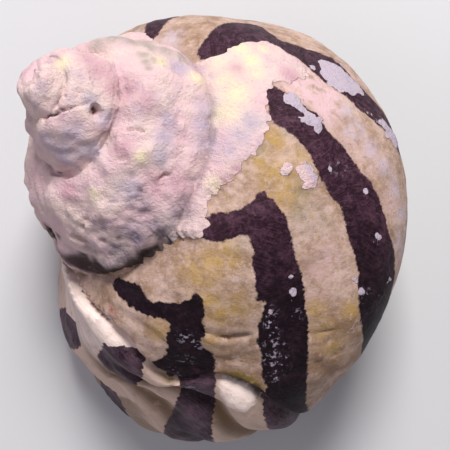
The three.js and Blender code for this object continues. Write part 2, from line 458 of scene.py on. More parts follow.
# The worn spire, in mm: broad and small lumps, ribs that lean along the whorl, scales on the shaded face,
# a shelf round the middle of each whorl, a channel under its edge, and how far the middle whorls are sunk
spireRelief = {
    "broadLumps": [(0.6, 8.5, 71)],
    "smallLumps": [(0.46, 4.2, 73), (0.26, 2.1, 75)],
    "ribs": [(1.0, 9.0, 26.0, 77)],
    "ribHeight": 0.36,
    "scales": [(0.28, 3.4, 11.0, 78)],
    "scaleWander": [(14.0, 6.0, 79)],
    "shelf": 0.5,
    "channel": 0.7,
    "sunk": 0.5,
}


def spireWear(turn, side, points, size):
    wear = lumps(points, spireRelief["broadLumps"]) * np.maximum(size, 0.35)
    wear += lumps(points, spireRelief["smallLumps"])
    wear -= spireRelief["sunk"] * smoothStep(-turn, 200.0, 320.0) * smoothStep(turn, -620.0, -500.0)
    ribs = np.maximum(growthLines(turn, side, spireRelief["ribs"]), -0.2)
    wear += spireRelief["ribHeight"] * ribs * np.maximum(size, 0.4)
    shadedFace = smoothStep(side, 62.0, 40.0)
    shadedFace = shadedFace * smoothStep(-turn, 230.0, 250.0) * smoothStep(turn, -320.0, -295.0)
    scaleTurn = turn + lumps(points, spireRelief["scaleWander"])
    wear += shadedFace * growthLines(scaleTurn, side, spireRelief["scales"])
    ledges = spireRelief["shelf"] * hump(side, 2.0, 18.0) - spireRelief["channel"] * hump(side, 94.0, 9.0)
    return wear + ledges * np.maximum(size, 0.3)


# Pits are (turn, side, radius in mm, depth in mm). Cracks are lines of (turn, side, half width), each
# with its depth in mm. The painted shade under the whorl's edge is one such line, on the spire above the
# body whorl. Wander makes the edges of the pits and cracks uneven: (height, width, seed) in mm.
damage = {
    "pits": [(-676, 17, 0.95, 2.0), (-674, 9, 0.6, 1.4), (-679, 24, 0.6, 1.2), (-671, 84, 0.3, 0.5),
             (-685, 68, 0.35, 0.5), (-339, 33, 0.8, 0.35), (-341, 40, 0.7, 0.3), (-226, 61, 0.3, 0.5),
             (69, 91, 0.25, 0.4), (-247, 35, 0.7, 1.2), (-244, 38, 0.5, 0.9), (-248, 21, 0.7, 1.0),
             (-251, 17, 0.4, 0.7), (-260, 26, 0.5, 0.7), (-256, 53, 0.7, 0.6), (-253, 47, 0.6, 0.5),
             (-220, 26, 1.5, 0.9), (-220, 38, 1.2, 0.8), (-217, 12, 1.4, 0.8)],
    "pitWander": [(0.2, 0.6, 81)],
    "cracks": [([(-306, 89, 0.12), (-309, 84, 0.18), (-311, 80, 0.1)], 0.5),
               ([(-315, 83, 0.15), (-320, 75, 0.25), (-321, 67, 0.12)], 0.6),
               ([(-296, 76, 0.12), (-301, 70, 0.2)], 0.5),
               ([(-302, 33, 0.12), (-307, 26, 0.22), (-309, 19, 0.12)], 0.5),
               ([(-287, 52, 0.1), (-293, 41, 0.15)], 0.35),
               ([(-279, 52, 0.1), (-285, 44, 0.15)], 0.35),
               ([(-647, 79, 0.15), (-667, 63, 0.2), (-679, 43, 0.15)], 0.4),
               ([(-618, 84, 0.1), (-626, 86, 0.3), (-639, 81, 0.35), (-653, 77, 0.25), (-660, 72, 0.1)], 0.6),
               ([(-222, 92, 0.1), (-236, 94, 0.35), (-247, 92, 0.45), (-259, 93, 0.4), (-272, 94, 0.3),
                 (-286, 93, 0.15)], 0.8),
               ([(-213, 34, 0.3), (-218, 28, 0.8), (-220, 14, 1.1), (-219, 0, 0.9), (-217, -10, 0.4)], 0.5),
               ([(83, 56, 0.1), (81, 50, 0.2), (79, 45, 0.24), (77, 40, 0.34), (74, 36, 0.4),
                 (72, 33, 0.16)], 0.7),
               ([(87, 46, 0.12), (85, 39, 0.2), (83, 33, 0.2), (80, 26, 0.22), (79, 20, 0.1)], 0.4),
               ([(63, 10, 0.1), (61, 1, 0.2), (58, -4, 0.26), (56, -8, 0.22), (54, -12, 0.1)], 0.5),
               ([(65, 3, 0.1), (61, -6, 0.2), (59, -11, 0.22), (55, -17, 0.12)], 0.3),
               ([(68, -3, 0.1), (65, -11, 0.2), (62, -15, 0.2), (57, -21, 0.1)], 0.3),
               ([(68, 55, 0.06), (64, 44, 0.1), (61, 35, 0.1), (58, 25, 0.06)], 0.18)],
    "crackWander": [(0.1, 0.8, 83)],
    # painted shade along the underside of the whorl above the body whorl
    "underWhorlShade": [(-219, 12, 1.0), (-225, 8, 1.6), (-232, 4, 1.9), (-239, 0, 2.3), (-246, -8, 2.5),
                  (-254, -15, 2.5), (-263, -17, 2.4), (-272, -17, 2.2), (-282, -18, 1.6), (-294, -19, 0.8)],
}


# Relief in mm on the outer surface. Facing is one on the sides of the section that look outwards,
# cover is one under the crust, and worn grows from nothing on the body whorl to one on the spire.
def surfaceRelief(turn, side, points):
    size = np.minimum(sizeAt(turn), 1.2)
    past = turn - restTurn(side)
    facing = smoothStep(side, -110.0, -80.0) * (1.0 - smoothStep(side, 92.0, 112.0))
    relief = facing * newShellHeight(past, side, points)
    relief += bodyWaves(past, side, points, size)
    ragged = lumps(points, crust["edgeWander"])
    cover = smoothStep(crustDepth(points, turn, side) + ragged, -0.12, 0.3)
    worn = smoothStep(-turn, 130.0, 220.0)
    relief += crustHeight(side, points, cover, worn)
    relief += worn * spireWear(turn, side, points, size)
    block = depthInOutline(points, turn, side, newGrowth["block"]) + lumps(points, newGrowth["blockWander"])
    relief += newGrowth["blockHeight"] * smoothStep(block, -0.9, 1.0)
    pitWander = lumps(points, damage["pitWander"])
    for pitTurn, pitSide, radius, depth in damage["pits"]:
        inPit = depthInSpots(points, [(pitTurn, pitSide, radius)]) + pitWander
        relief -= depth * smoothStep(inPit, -0.25, radius * 0.6)
    crackWander = lumps(points, damage["crackWander"])
    for line, depth in damage["cracks"]:
        inCrack = depthInLine(points, line) + crackWander
        relief -= depth * smoothStep(inCrack, -0.2, 0.12)
    return relief


def node(tree, kind, **settings):
    made = tree.nodes.new(kind)
    for key, value in settings.items():
        setattr(made, key, value)
    return made


# A number or a colour is set on the socket itself, and another node's output is linked to it
def feed(tree, value, socket):
    if isinstance(value, (int, float)):
        socket.default_value = value
    elif isinstance(value, tuple):
        socket.default_value = (*value, 1.0)
    else:
        tree.links.new(value, socket)


def mathNode(tree, operation, *values, clamp=False):
    made = node(tree, "ShaderNodeMath", operation=operation, use_clamp=clamp)
    for value, socket in zip(values, made.inputs):
        feed(tree, value, socket)
    return made.outputs[0]


def mixColour(tree, factor, first, second):
    made = node(tree, "ShaderNodeMix", data_type="RGBA")
    for value, socket in ((factor, made.inputs[0]), (first, made.inputs[6]), (second, made.inputs[7])):
        feed(tree, value, socket)
    return made.outputs[2]


def attribute(tree, name):
    return node(tree, "ShaderNodeAttribute", attribute_name=name).outputs["Fac"]


def noiseAt(tree, place, scale, detail, roughness, distortion):
    made = node(tree, "ShaderNodeTexNoise")
    feed(tree, place, made.inputs["Vector"])
    feed(tree, scale, made.inputs["Scale"])
    feed(tree, detail, made.inputs["Detail"])
    feed(tree, roughness, made.inputs["Roughness"])
    feed(tree, distortion, made.inputs["Distortion"])
    return made.outputs["Fac"]


def noise(tree, scale, detail=4.0, roughness=0.55, distortion=0.0):
    place = node(tree, "ShaderNodeTexCoord").outputs["Object"]
    return noiseAt(tree, place, scale, detail, roughness, distortion)


# The part of a value between low and high, spread out over 0 to 1
def stretchValue(tree, value, low, high):
    made = node(tree, "ShaderNodeMapRange", clamp=True)
    feed(tree, value, made.inputs["Value"])
    feed(tree, low, made.inputs["From Min"])
    feed(tree, high, made.inputs["From Max"])
    return made.outputs["Result"]


def addBump(tree, shader, height, strength, distance):
    bump = node(tree, "ShaderNodeBump")
    feed(tree, strength, bump.inputs["Strength"])
    feed(tree, distance * mm, bump.inputs["Distance"])
    feed(tree, height, bump.inputs["Height"])
    feed(tree, bump.outputs["Normal"], shader.inputs["Normal"])


def newMaterial(name):
    material = bpy.data.materials.new(name)
    material.use_nodes = True
    return material, material.node_tree, material.node_tree.nodes["Principled BSDF"]


def newGroup(name, inputs, output):
    group = bpy.data.node_groups.new(name, "ShaderNodeTree")
    for label, value in inputs.items():
        socket = group.interface.new_socket(name=label, in_out="INPUT", socket_type="NodeSocketFloat")
        socket.default_value = value
    group.interface.new_socket(name=output, in_out="OUTPUT", socket_type="NodeSocketFloat")
    return group, group.nodes.new("NodeGroupInput"), group.nodes.new("NodeGroupOutput")


def useGroup(tree, group, **values):
    made = node(tree, "ShaderNodeGroup", node_tree=group)
    for label, value in values.items():
        feed(tree, value, made.inputs[label])
    return made.outputs[0]


# Turns a depth in mm into a mask: ragged by noise, and scalloped where it grew in small round lobes
def makeRaggedEdge():
    inputs = {"Depth": 0.0, "Raggedness": 0.4, "Lobes": 0.0, "Softness": 0.12}
    group, given, result = newGroup("raggedEdge", inputs, "Mask")
    coarse = mathNode(group, "SUBTRACT", noise(group, 800.0, 3.0), 0.5)
    fine = mathNode(group, "SUBTRACT", noise(group, 2600.0, 3.0, 0.7), 0.5)
    wobble = mathNode(group, "MULTIPLY_ADD", coarse, 1.8, fine)
    wobble = mathNode(group, "MULTIPLY", wobble, given.outputs["Raggedness"])
    cells = node(group, "ShaderNodeTexVoronoi")
    feed(group, node(group, "ShaderNodeTexCoord").outputs["Object"], cells.inputs["Vector"])
    feed(group, 620.0, cells.inputs["Scale"])
    lobes = mathNode(group, "SUBTRACT", 0.5, cells.outputs["Distance"])
    wobble = mathNode(group, "MULTIPLY_ADD", lobes, given.outputs["Lobes"], wobble)
    depth = mathNode(group, "ADD", given.outputs["Depth"], wobble)
    depth = mathNode(group, "DIVIDE", depth, given.outputs["Softness"])
    feed(group, mathNode(group, "ADD", depth, 0.5, clamp=True), result.inputs["Mask"])
    return group


# Fibrous streaks that follow the old lips
def makeGrowthFibres():
    group, given, result = newGroup("growthFibres", {"PerTurn": 1.0, "PerSide": 0.05}, "Fibres")
    place = node(group, "ShaderNodeCombineXYZ")
    across = mathNode(group, "MULTIPLY", attribute(group, "growth"), given.outputs["PerTurn"])
    along = mathNode(group, "MULTIPLY", attribute(group, "sideAngle"), given.outputs["PerSide"])
    feed(group, across, place.inputs["X"])
    feed(group, along, place.inputs["Y"])
    feed(group, noiseAt(group, place.outputs["Vector"], 1.0, 5.0, 0.6, 0.3), result.inputs["Fibres"])
    return group


raggedEdge = makeRaggedEdge()
growthFibres = makeGrowthFibres()


def edgeMask(tree, name, **values):
    return useGroup(tree, raggedEdge, Depth=attribute(tree, name), **values)


outerColours = {
    "cream": (0.31, 0.195, 0.138),
    "pale": (0.60, 0.43, 0.37),
    "tan": (0.24, 0.145, 0.075),
    "ochre": (0.46, 0.285, 0.075),
    "green": (0.25, 0.245, 0.19),
    "rose": (0.56, 0.375, 0.37),
    "bandDark": (0.007, 0.0035, 0.006),
    "bandMid": (0.026, 0.009, 0.016),
    "bandWorn": (0.14, 0.062, 0.095),
    "freshWhite": (0.93, 0.76, 0.69),
    "freshCream": (0.66, 0.48, 0.39),
    # painted shade and dirt on the newer shell
    "shadeAndDirtBrown": (0.070, 0.038, 0.026),
    "freshBand": (0.032, 0.015, 0.024),
    "freshBandWorn": (0.17, 0.10, 0.13),
    # near-black painted shade in the groove along the old lip
    "lipGrooveShade": (0.016, 0.010, 0.010),
    "stainOchre": (0.17, 0.115, 0.012),
    "redSpot": (0.33, 0.05, 0.055),
    "crustPink": (0.76, 0.52, 0.55),
    "crustWarm": (0.82, 0.64, 0.585),
    "crustDeepPink": (0.61, 0.345, 0.40),
    "crustLilac": (0.49, 0.41, 0.52),
    "crustYellow": (0.90, 0.80, 0.50),
    # grey crust, darkened as painted shade on the lower face of the whorl above the body whorl
    "crustGreyAndShade": (0.125, 0.112, 0.165),
    # the crust's dark mottling, and painted shade in the sutures of the spire
    "crustDirtAndShade": (0.17, 0.125, 0.13),
    "patchWhite": (0.52, 0.45, 0.55),
    # painted shade inside pits and cracks
    "pitShade": (0.025, 0.012, 0.010),
    # dark painted shade in the sutures
    "sutureShadeDark": (0.028, 0.022, 0.026),
    # painted shade under the whorl above the body whorl
    "underWhorlShade": (0.055, 0.034, 0.030),
    "grime": (0.42, 0.36, 0.315),
    "haze": (0.56, 0.47, 0.54),
}

# Layers of colour, in the order they are laid. Areas are marked on the shell and broken up by noise:
# (area, noise scale, low, high, colour, strength). Mottling lies all over: (noise scale, detail,
# roughness, low, high, colour, strength). Low and high are the noise values between which it fades in.
outerLayers = {
    "creamAreas": [("ochreTint", 330.0, 0.28, 0.54, "ochre", 0.85),
                   # tan painted shade, mostly on the lower right of the body whorl
                   ("tanShade", 260.0, 0.20, 0.55, "tan", 0.6),
                   ("greenTint", 300.0, 0.30, 0.60, "green", 0.65)],
    "creamMottling": [(430.0, 7.0, 0.74, 0.50, 0.62, "tan", 0.55),
                      (620.0, 6.0, 0.74, 0.52, 0.64, "pale", 0.65),
                      (1500.0, 5.0, 0.75, 0.52, 0.66, "ochre", 0.5)],
    "creamHazes": [("hazeTint", 420.0, 0.34, 0.54, "haze", 0.7),
                   ("washTint", 420.0, 0.36, 0.52, "crustPink", 0.8)],
    "bandSpecks": [(2300.0, 3.0, 0.75, 0.69, 0.78, "patchWhite", 0.3)],
    "freshMottling": [(420.0, 6.0, 0.7, 0.54, 0.72, "tan", 0.4)],
    # painted shade and brown dirt in the grooves of the newer shell
    "freshAreas": [("grooveShadeAndDirt", 520.0, 0.20, 0.42, "shadeAndDirtBrown", 0.95)],
    "freshBandMottling": [(1100.0, 6.0, 0.75, 0.52, 0.66, "freshBandWorn", 0.6)],
    "stainsAndShade": [("ochreStain", 700.0, 0.25, 0.50, "stainOchre", 0.85),
               # painted shade spots along the sutures, in dark brown
               ("sutureShadeSpots", 500.0, 0.26, 0.48, "shadeAndDirtBrown", 0.75)],
    "crustAreas": [("pinkTint", 300.0, 0.20, 0.50, "crustDeepPink", 0.8),
                   ("lilacTint", 330.0, 0.22, 0.52, "crustLilac", 0.8),
                   ("yellowTint", 420.0, 0.24, 0.48, "crustYellow", 0.8),
                   ("grimeTint", 420.0, 0.22, 0.46, "grime", 0.85)],
    "crustMottling": [(900.0, 6.0, 0.78, 0.57, 0.76, "crustDirtAndShade", 0.42)],
    # painted shade spots along the sutures
    "crustShade": [("sutureShadeSpots", 500.0, 0.26, 0.48, "sutureShadeDark", 0.92),
                   # painted shade under the whorl above the body whorl
                   ("underWhorlShade", 600.0, 0.24, 0.42, "underWhorlShade", 0.92)],
}


def blend(tree, colour, mask, name, strength=1.0):
    return mixColour(tree, mathNode(tree, "MULTIPLY", mask, strength), colour, outerColours[name])


def layAreas(tree, colour, layers):
    for area, scale, low, high, name, strength in layers:
        broken = stretchValue(tree, noise(tree, scale, 5.0, 0.65), low, high)
        mask = mathNode(tree, "MULTIPLY", attribute(tree, area), broken)
        colour = blend(tree, colour, mask, name, strength)
    return colour


def layMottling(tree, colour, layers):
    for scale, detail, roughness, low, high, name, strength in layers:
        mask = stretchValue(tree, noise(tree, scale, detail, roughness), low, high)
        colour = blend(tree, colour, mask, name, strength)
    return colour


def paintCream(tree, fibres, fineFibres):
    clouds = stretchValue(tree, noise(tree, 190.0, 7.0, 0.72), 0.40, 0.60)
    colour = mixColour(tree, clouds, outerColours["cream"], outerColours["pale"])
    colour = blend(tree, colour, attribute(tree, "roseTint"), "rose", 0.7)
    colour = layAreas(tree, colour, outerLayers["creamAreas"])
    colour = layMottling(tree, colour, outerLayers["creamMottling"])
    colour = blend(tree, colour, stretchValue(tree, fibres, 0.52, 0.74), "tan", 0.16)
    colour = blend(tree, colour, stretchValue(tree, fineFibres, 0.52, 0.72), "pale", 0.2)
    return layAreas(tree, colour, outerLayers["creamHazes"])


# The older bands have faded to purple, and those near the old lip stay almost black
def paintBands(tree, fineFibres):
    faded = stretchValue(tree, attribute(tree, "growth"), -34.0, -66.0)
    fading = mathNode(tree, "MULTIPLY_ADD", faded, 0.9, 0.05)
    colour = mixColour(tree, fading, outerColours["bandDark"], outerColours["bandMid"])
    streaks = mathNode(tree, "MULTIPLY", stretchValue(tree, fineFibres, 0.50, 0.66), 0.4)
    specks = stretchValue(tree, noise(tree, 900.0, 7.0, 0.8), 0.48, 0.64)
    worn = mathNode(tree, "MULTIPLY_ADD", specks, 0.6, streaks)
    worn = mathNode(tree, "MULTIPLY", worn, mathNode(tree, "MULTIPLY_ADD", faded, 0.75, 0.2))
    colour = blend(tree, colour, worn, "bandWorn")
    rubbed = stretchValue(tree, noise(tree, 300.0, 6.0, 0.72), 0.52, 0.72)
    rubbed = mathNode(tree, "MULTIPLY", rubbed, mathNode(tree, "MULTIPLY_ADD", faded, 0.6, 0.25))
    colour = blend(tree, colour, rubbed, "bandWorn", 0.8)
    return layMottling(tree, colour, outerLayers["bandSpecks"])


def paintFresh(tree, fibres):
    whiter = attribute(tree, "freshWhite")
    colour = mixColour(tree, whiter, outerColours["freshCream"], outerColours["freshWhite"])
    colour = blend(tree, colour, stretchValue(tree, fibres, 0.50, 0.78), "tan", 0.4)
    colour = layMottling(tree, colour, outerLayers["freshMottling"])
    colour = layAreas(tree, colour, outerLayers["freshAreas"])
    # painted shade and dirt in the grooves
    return blend(tree, colour, attribute(tree, "grooveShadeAndDirt"), "tan", 0.6)


def paintFreshBands(tree, fineFibres):
    patches = stretchValue(tree, noise(tree, 260.0, 6.0, 0.7), 0.42, 0.64)
    worn = mathNode(tree, "ADD", patches, stretchValue(tree, fineFibres, 0.45, 0.75))
    worn = mathNode(tree, "MULTIPLY", worn, 0.6)
    colour = mixColour(tree, worn, outerColours["freshBand"], outerColours["freshBandWorn"])
    colour = layMottling(tree, colour, outerLayers["freshBandMottling"])
    # painted shade and dirt in the grooves, over the bands
    return blend(tree, colour, attribute(tree, "grooveShadeAndDirt"), "bandDark", 0.75)


def paintCrust(tree, fibres):
    clouds = stretchValue(tree, noise(tree, 160.0, 5.0, 0.6), 0.36, 0.64)
    colour = mixColour(tree, clouds, outerColours["crustPink"], outerColours["crustWarm"])
    veins = stretchValue(tree, noise(tree, 210.0, 5.0, 0.62, 0.8), 0.54, 0.70)
    colour = blend(tree, colour, veins, "crustLilac", 0.5)
    colour = layAreas(tree, colour, outerLayers["crustAreas"])
    scaly = mathNode(tree, "MULTIPLY", noise(tree, 380.0, 7.0, 0.75), 0.6)
    scaly = mathNode(tree, "MULTIPLY_ADD", fibres, 0.4, scaly)
    # grey crust with fine streaks, dark as painted shade on the lower face of the whorl above the body whorl
    grey = mathNode(tree, "MULTIPLY", attribute(tree, "greyAndShadeTint"), stretchValue(tree, scaly, 0.40, 0.58))
    colour = blend(tree, colour, grey, "crustGreyAndShade", 0.85)
    colour = layMottling(tree, colour, outerLayers["crustMottling"])
    # painted shade in the sutures of the spire
    colour = blend(tree, colour, attribute(tree, "sutureShade"), "crustDirtAndShade", 0.6)
    colour = layAreas(tree, colour, outerLayers["crustShade"])
    return blend(tree, colour, attribute(tree, "patchShare"), "patchWhite", 0.85)


def paintOuter(tree, fibres, fineFibres, fresh, crusted):
    band = edgeMask(tree, "bandDepth", Raggedness=0.7, Softness=0.35)
    # painted shade in the groove along the old lip
    stainAndShade = edgeMask(tree, "lipGrooveShadeDepth", Raggedness=0.4, Softness=0.8)
    colour = mixColour(tree, fresh, paintCream(tree, fibres, fineFibres), paintFresh(tree, fibres))
    bandColour = mixColour(tree, fresh, paintBands(tree, fineFibres), paintFreshBands(tree, fineFibres))
    colour = mixColour(tree, band, colour, bandColour)
    scuffs = mathNode(tree, "MULTIPLY", attribute(tree, "scuffTint"), band)
    scratches = stretchValue(tree, noise(tree, 1050.0, 6.0, 0.68), 0.56, 0.62)
    scuffs = mathNode(tree, "MULTIPLY", scuffs, scratches)
    colour = blend(tree, colour, scuffs, "patchWhite", 0.75)
    # painted shade in the groove along the old lip
    colour = blend(tree, colour, stainAndShade, "lipGrooveShade", 0.88)
    colour = layAreas(tree, colour, outerLayers["stainsAndShade"])
    colour = mixColour(tree, crusted, colour, paintCrust(tree, fibres))
    colour = blend(tree, colour, attribute(tree, "redTint"), "redSpot")
    # painted shade inside pits and cracks
    return blend(tree, colour, attribute(tree, "pitAndCrackShade"), "pitShade", 0.95)


# Satin shell, glossier where it is new, under a chalky crust. Bump depth is in mm.
outerSurface = {
    "satin": 0.40,
    "satinSpread": 0.25,
    "glossierWhereNew": 0.10,
    "chalkierOnCrust": 0.32,
    "bump": 0.85,
    "bumpDepth": 0.22,
    "specular": 0.1,
}


def outerRoughness(tree, fresh, crusted):
    cloudy = noise(tree, 500.0, 4.0)
    satin = mathNode(tree, "MULTIPLY_ADD", cloudy, outerSurface["satinSpread"], outerSurface["satin"])
    satin = mathNode(tree, "MULTIPLY_ADD", fresh, -outerSurface["glossierWhereNew"], satin)
    return mathNode(tree, "MULTIPLY_ADD", crusted, outerSurface["chalkierOnCrust"], satin, clamp=True)


# Grains and crumbs, stronger on the crust, fibres on the bare shell and the grey crust, and the height
# of the crust over the shell
def outerGrain(tree, fibres, fineFibres, crusted):
    grain = mathNode(tree, "MULTIPLY_ADD", crusted, 1.0, 0.35)
    grain = mathNode(tree, "MULTIPLY", noise(tree, 2600.0, 4.0, 0.7), grain)
    crumbs = mathNode(tree, "MULTIPLY_ADD", crusted, 2.0, 1.1)
    crumbs = mathNode(tree, "MULTIPLY", noise(tree, 950.0, 5.0, 0.72), crumbs)
    streaks = mathNode(tree, "MULTIPLY_ADD", fibres, 0.16, mathNode(tree, "MULTIPLY", fineFibres, 0.14))
    bare = mathNode(tree, "SUBTRACT", 1.0, crusted)
    streaked = mathNode(tree, "MAXIMUM", bare, attribute(tree, "greyAndShadeTint"))
    streaks = mathNode(tree, "MULTIPLY", streaks, streaked)
    height = mathNode(tree, "ADD", mathNode(tree, "ADD", grain, crumbs), streaks)
    return mathNode(tree, "MULTIPLY_ADD", crusted, 0.8, height)


def makeOuter():
    material, tree, shader = newMaterial("limyShell")
    fibres = useGroup(tree, growthFibres, PerTurn=0.75, PerSide=0.035)
    fineFibres = useGroup(tree, growthFibres, PerTurn=2.6, PerSide=0.10)
    fresh = edgeMask(tree, "freshDepth", Raggedness=0.3, Softness=0.25)
    crusted = edgeMask(tree, "crustDepth", Raggedness=0.4, Lobes=1.7, Softness=0.1)
    feed(tree, paintOuter(tree, fibres, fineFibres, fresh, crusted), shader.inputs["Base Color"])
    feed(tree, outerRoughness(tree, fresh, crusted), shader.inputs["Roughness"])
    grain = outerGrain(tree, fibres, fineFibres, crusted)
    addBump(tree, shader, grain, outerSurface["bump"], outerSurface["bumpDepth"])
    shader.inputs["Specular IOR Level"].default_value = outerSurface["specular"]
    return material


nacreFinish = {
    "silver": (0.72, 0.70, 0.66),
    "rose": (0.74, 0.56, 0.56),
    "green": (0.52, 0.66, 0.58),
    "lip": (0.62, 0.55, 0.44),
    "stainAndShade": (0.16, 0.11, 0.13),
    "coat": 0.5,
    "coatRoughness": 0.1,
}


def makeNacre():
    material, tree, shader = newMaterial("nacre")
    rosy = stretchValue(tree, noise(tree, 70.0, 3.0, 0.5, 1.5), 0.42, 0.62)
    greenish = stretchValue(tree, noise(tree, 95.0, 3.0, 0.5, 2.0), 0.52, 0.7)
    streaks = useGroup(tree, growthFibres, PerTurn=0.5, PerSide=0.03)
    colour = mixColour(tree, rosy, nacreFinish["silver"], nacreFinish["rose"])
    colour = mixColour(tree, greenish, colour, nacreFinish["green"])
    dull = mathNode(tree, "MULTIPLY", stretchValue(tree, streaks, 0.5, 0.75), 0.3)
    colour = mixColour(tree, dull, colour, nacreFinish["lip"])
    feed(tree, colour, shader.inputs["Base Color"])
    cloudy = mathNode(tree, "MULTIPLY_ADD", noise(tree, 160.0, 3.0), 0.15, 0.13)
    feed(tree, cloudy, shader.inputs["Roughness"])
    shader.inputs["Coat Weight"].default_value = nacreFinish["coat"]
    shader.inputs["Coat Roughness"].default_value = nacreFinish["coatRoughness"]
    addBump(tree, shader, mathNode(tree, "MULTIPLY_ADD", streaks, 0.5, noise(tree, 240.0, 3.0)), 0.3, 0.2)
    return material


# The cut edge that the shell rests on: bands show through it where they end at the lip
def makeRim():
    material, tree, shader = newMaterial("rim")
    grains = stretchValue(tree, noise(tree, 300.0, 4.0), 0.4, 0.7)
    streaks = useGroup(tree, growthFibres, PerTurn=1.4, PerSide=0.3)
    band = edgeMask(tree, "bandDepth", Raggedness=0.6, Softness=0.5)
    colour = mixColour(tree, grains, nacreFinish["silver"], nacreFinish["lip"])
    colour = mixColour(tree, mathNode(tree, "MULTIPLY", band, 0.7), colour, nacreFinish["stainAndShade"])
    feed(tree, colour, shader.inputs["Base Color"])
    feed(tree, mathNode(tree, "MULTIPLY_ADD", streaks, 0.25, 0.28), shader.inputs["Roughness"])
    addBump(tree, shader, mathNode(tree, "ADD", streaks, noise(tree, 900.0, 4.0)), 0.4, 0.2)
    return material


shellMaterials = [makeOuter(), makeNacre(), makeRim()]
outside, inside, cutEdge = range(3)   # their places in the list
print("materials made")

# Outer stretches of the tube: (from turn, to turn, degrees between rings, points round the ring)
outerStretches = [(-1150, -692, 4.2, 86), (-692, -512, 2.5, 118), (-512, -332, 1.9, 138),
                  (-332, -152, 1.35, 170), (-152, 28, 1.15, 176), (28, 208, 0.92, 190)]

# The hollow behind the mouth: the wall's thickness in mm, thinner at the lip, the layer of nacre over the
# older whorls and how many degrees of them it covers. The hollow has a coarser mesh, and it runs on past
# the lip, to open it cleanly.
mouth = {
    "hollowFrom": -150.0,
    "overrun": 14.0,
    "wall": 3.4,
    "lipWall": 1.7,
    "lipThinning": 100.0,
    "glaze": 0.6,
    "glazedOver": 420.0,
    "step": 4.5,
    "sides": 78,
}


def noInset(turn):
    return 0.0


def wallAt(turn):
    thinning = smoothStep(coil["endAngle"] - turn, 0.0, mouth["lipThinning"])
    return mouth["lipWall"] + (mouth["wall"] - mouth["lipWall"]) * thinning


def glazeAt(turn):
    return -mouth["glaze"]


def giveMaterials(mesh, surface):
    for material in shellMaterials:
        mesh.materials.append(material)
    mesh.polygons.foreach_set("material_index", [surface] * len(mesh.polygons))


# A closed stretch of the tube as a Blender object, in metres. Only the outside has the relief.
def tubeObject(name, fromTurn, toTurn, step, sides, inset, surface):
    rings = max(int(round((toTurn - fromTurn) / step)), 1) + 1
    turn = np.repeat(np.linspace(fromTurn, toTurn, rings), sides)
    side = np.tile(np.linspace(-180.0, 180.0, sides, endpoint=False), rings)
    reach = plainReach(turn, side)
    if surface == outside:
        reach = reach + surfaceRelief(turn, side, surfacePoint(turn, side, reach))
    points = surfacePoint(turn, side, reach - inset(turn))
    points = np.vstack([points, points[:sides].mean(axis=0), points[-sides:].mean(axis=0)])
    ring, k = np.meshgrid(np.arange(rings - 1), np.arange(sides), indexing="ij")
    here = (ring * sides + k).ravel()
    beside = (ring * sides + (k + 1) % sides).ravel()
    faces = np.stack([here, beside, beside + sides, here + sides], axis=1).tolist()
    last = (rings - 1) * sides
    for k in range(sides):
        following = (k + 1) % sides
        faces.append((following, k, rings * sides))
        faces.append((last + k, last + following, rings * sides + 1))
    mesh = bpy.data.meshes.new(name)
    mesh.from_pydata((points * mm).tolist(), [], faces)
    giveMaterials(mesh, surface)
    mesh.update()
    made = bpy.data.objects.new(name, mesh)
    bpy.context.collection.objects.link(made)
    return made


def combine(target, other, operation):
    modifier = target.modifiers.new("combine", "BOOLEAN")
    modifier.operation = operation
    modifier.solver = "MANIFOLD"
    modifier.object = other
    bpy.context.view_layer.update()
    result = bpy.data.meshes.new_from_object(target.evaluated_get(bpy.context.evaluated_depsgraph_get()))
    target.modifiers.clear()
    target.data = result
    bpy.data.objects.remove(other)


def makeWhorls():
    body = None
    for fromTurn, toTurn, step, sides in outerStretches:
        stretch = tubeObject("stretch", fromTurn, toTurn, step, sides, noInset, outside)
        if body is None:
            body = stretch
        else:
            combine(body, stretch, "UNION")
        print("whorls joined to turn", toTurn, len(body.data.polygons))
    return body


def makeHollow():
    step = mouth["step"]
    sides = mouth["sides"]
    mouthAngle = coil["endAngle"] + mouth["overrun"]
    linedUntil = mouth["hollowFrom"] + 2 * mouth["overrun"]
    hollow = tubeObject("hollow", mouth["hollowFrom"], mouthAngle, step, sides, wallAt, inside)
    liningFrom = linedUntil - mouth["glazedOver"]
    lining = tubeObject("lining", liningFrom, linedUntil, step, sides, glazeAt, inside)
    combine(hollow, lining, "DIFFERENCE")
    return hollow


# Everything under the resting plane, cut away so that the rim is flat
def makeGround():
    size = 0.4
    bpy.ops.mesh.primitive_cube_add(size=size, location=(0, 0, -size / 2))
    ground = bpy.context.object
    giveMaterials(ground.data, cutEdge)
    return ground


def makeShell():
    body = makeWhorls()
    combine(body, makeHollow(), "DIFFERENCE")
    combine(body, makeGround(), "DIFFERENCE")
    body.name = "magpieShell"
    body.data.name = "magpieShell"
    print("hollowed and cut", len(body.data.polygons))
    return body
